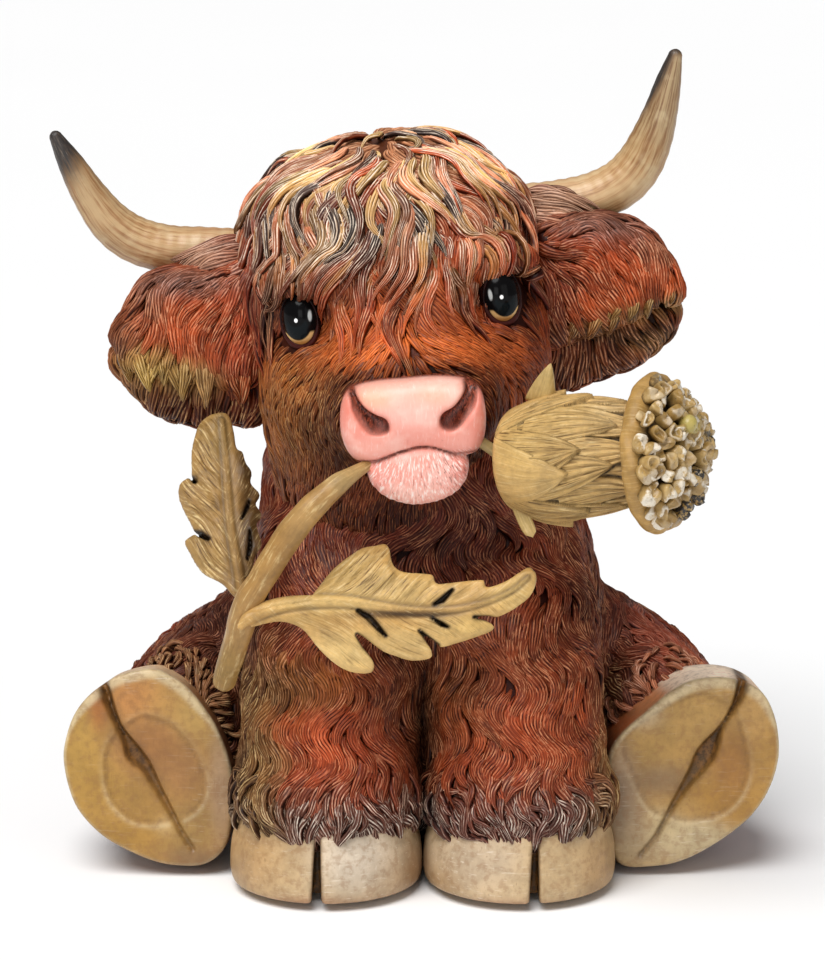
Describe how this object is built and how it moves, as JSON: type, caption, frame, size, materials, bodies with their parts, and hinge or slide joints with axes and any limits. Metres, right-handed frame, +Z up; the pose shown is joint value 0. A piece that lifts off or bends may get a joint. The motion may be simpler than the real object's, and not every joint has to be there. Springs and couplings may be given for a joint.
{
  "type": "seated calf figurine",
  "caption": "Hand-painted resin ornament of a long-haired horned calf sitting upright with a leafy thistle sprig held crosswise in its mouth.",
  "frame": {"origin": "centre of the footprint of the whole figurine's box, on the surface that it stands on", "axes": "+Z up, the face looks along -Y, +X is the viewer's right (the animal's left)"},
  "size_m": [0.1428, 0.1277, 0.1614],
  "materials": {
    "fur_resin": "hand-painted cast resin with carved fur, satin lacquer",
    "head_resin": "hand-painted cast resin with carved fur, satin lacquer",
    "horn_resin": "hand-painted cast resin, ochre to black at the tips",
    "ear_resin": "hand-painted cast resin with carved fur",
    "eye_gloss": "high gloss black with amber edge",
    "sprig_resin": "hand-painted cast resin, khaki with a dark wash",
    "floret_resin": "hand-painted cast resin, khaki with pale tips",
    "steel": "plain",
    "dowel_wood": "plain turned",
    "plug_rubber": "matt",
    "felt": "felt"
  },
  "bodies": {
    "root": {"body_casting": "fur_resin", "head_casting": "head_resin", "horn_left": "horn_resin", "horn_right": "horn_resin", "horn_pins": "steel", "ear_left": "ear_resin", "ear_right": "ear_resin", "eye_left": "eye_gloss", "eye_right": "eye_gloss", "thistle_stem": "sprig_resin", "thistle_leaf_front": "sprig_resin", "thistle_leaf_side": "sprig_resin", "thistle_bulb": "sprig_resin", "thistle_florets": "floret_resin", "neck_dowel": "dowel_wood", "base_plug": "plug_rubber", "felt_pads": "felt"}
  },
  "joints": []
}
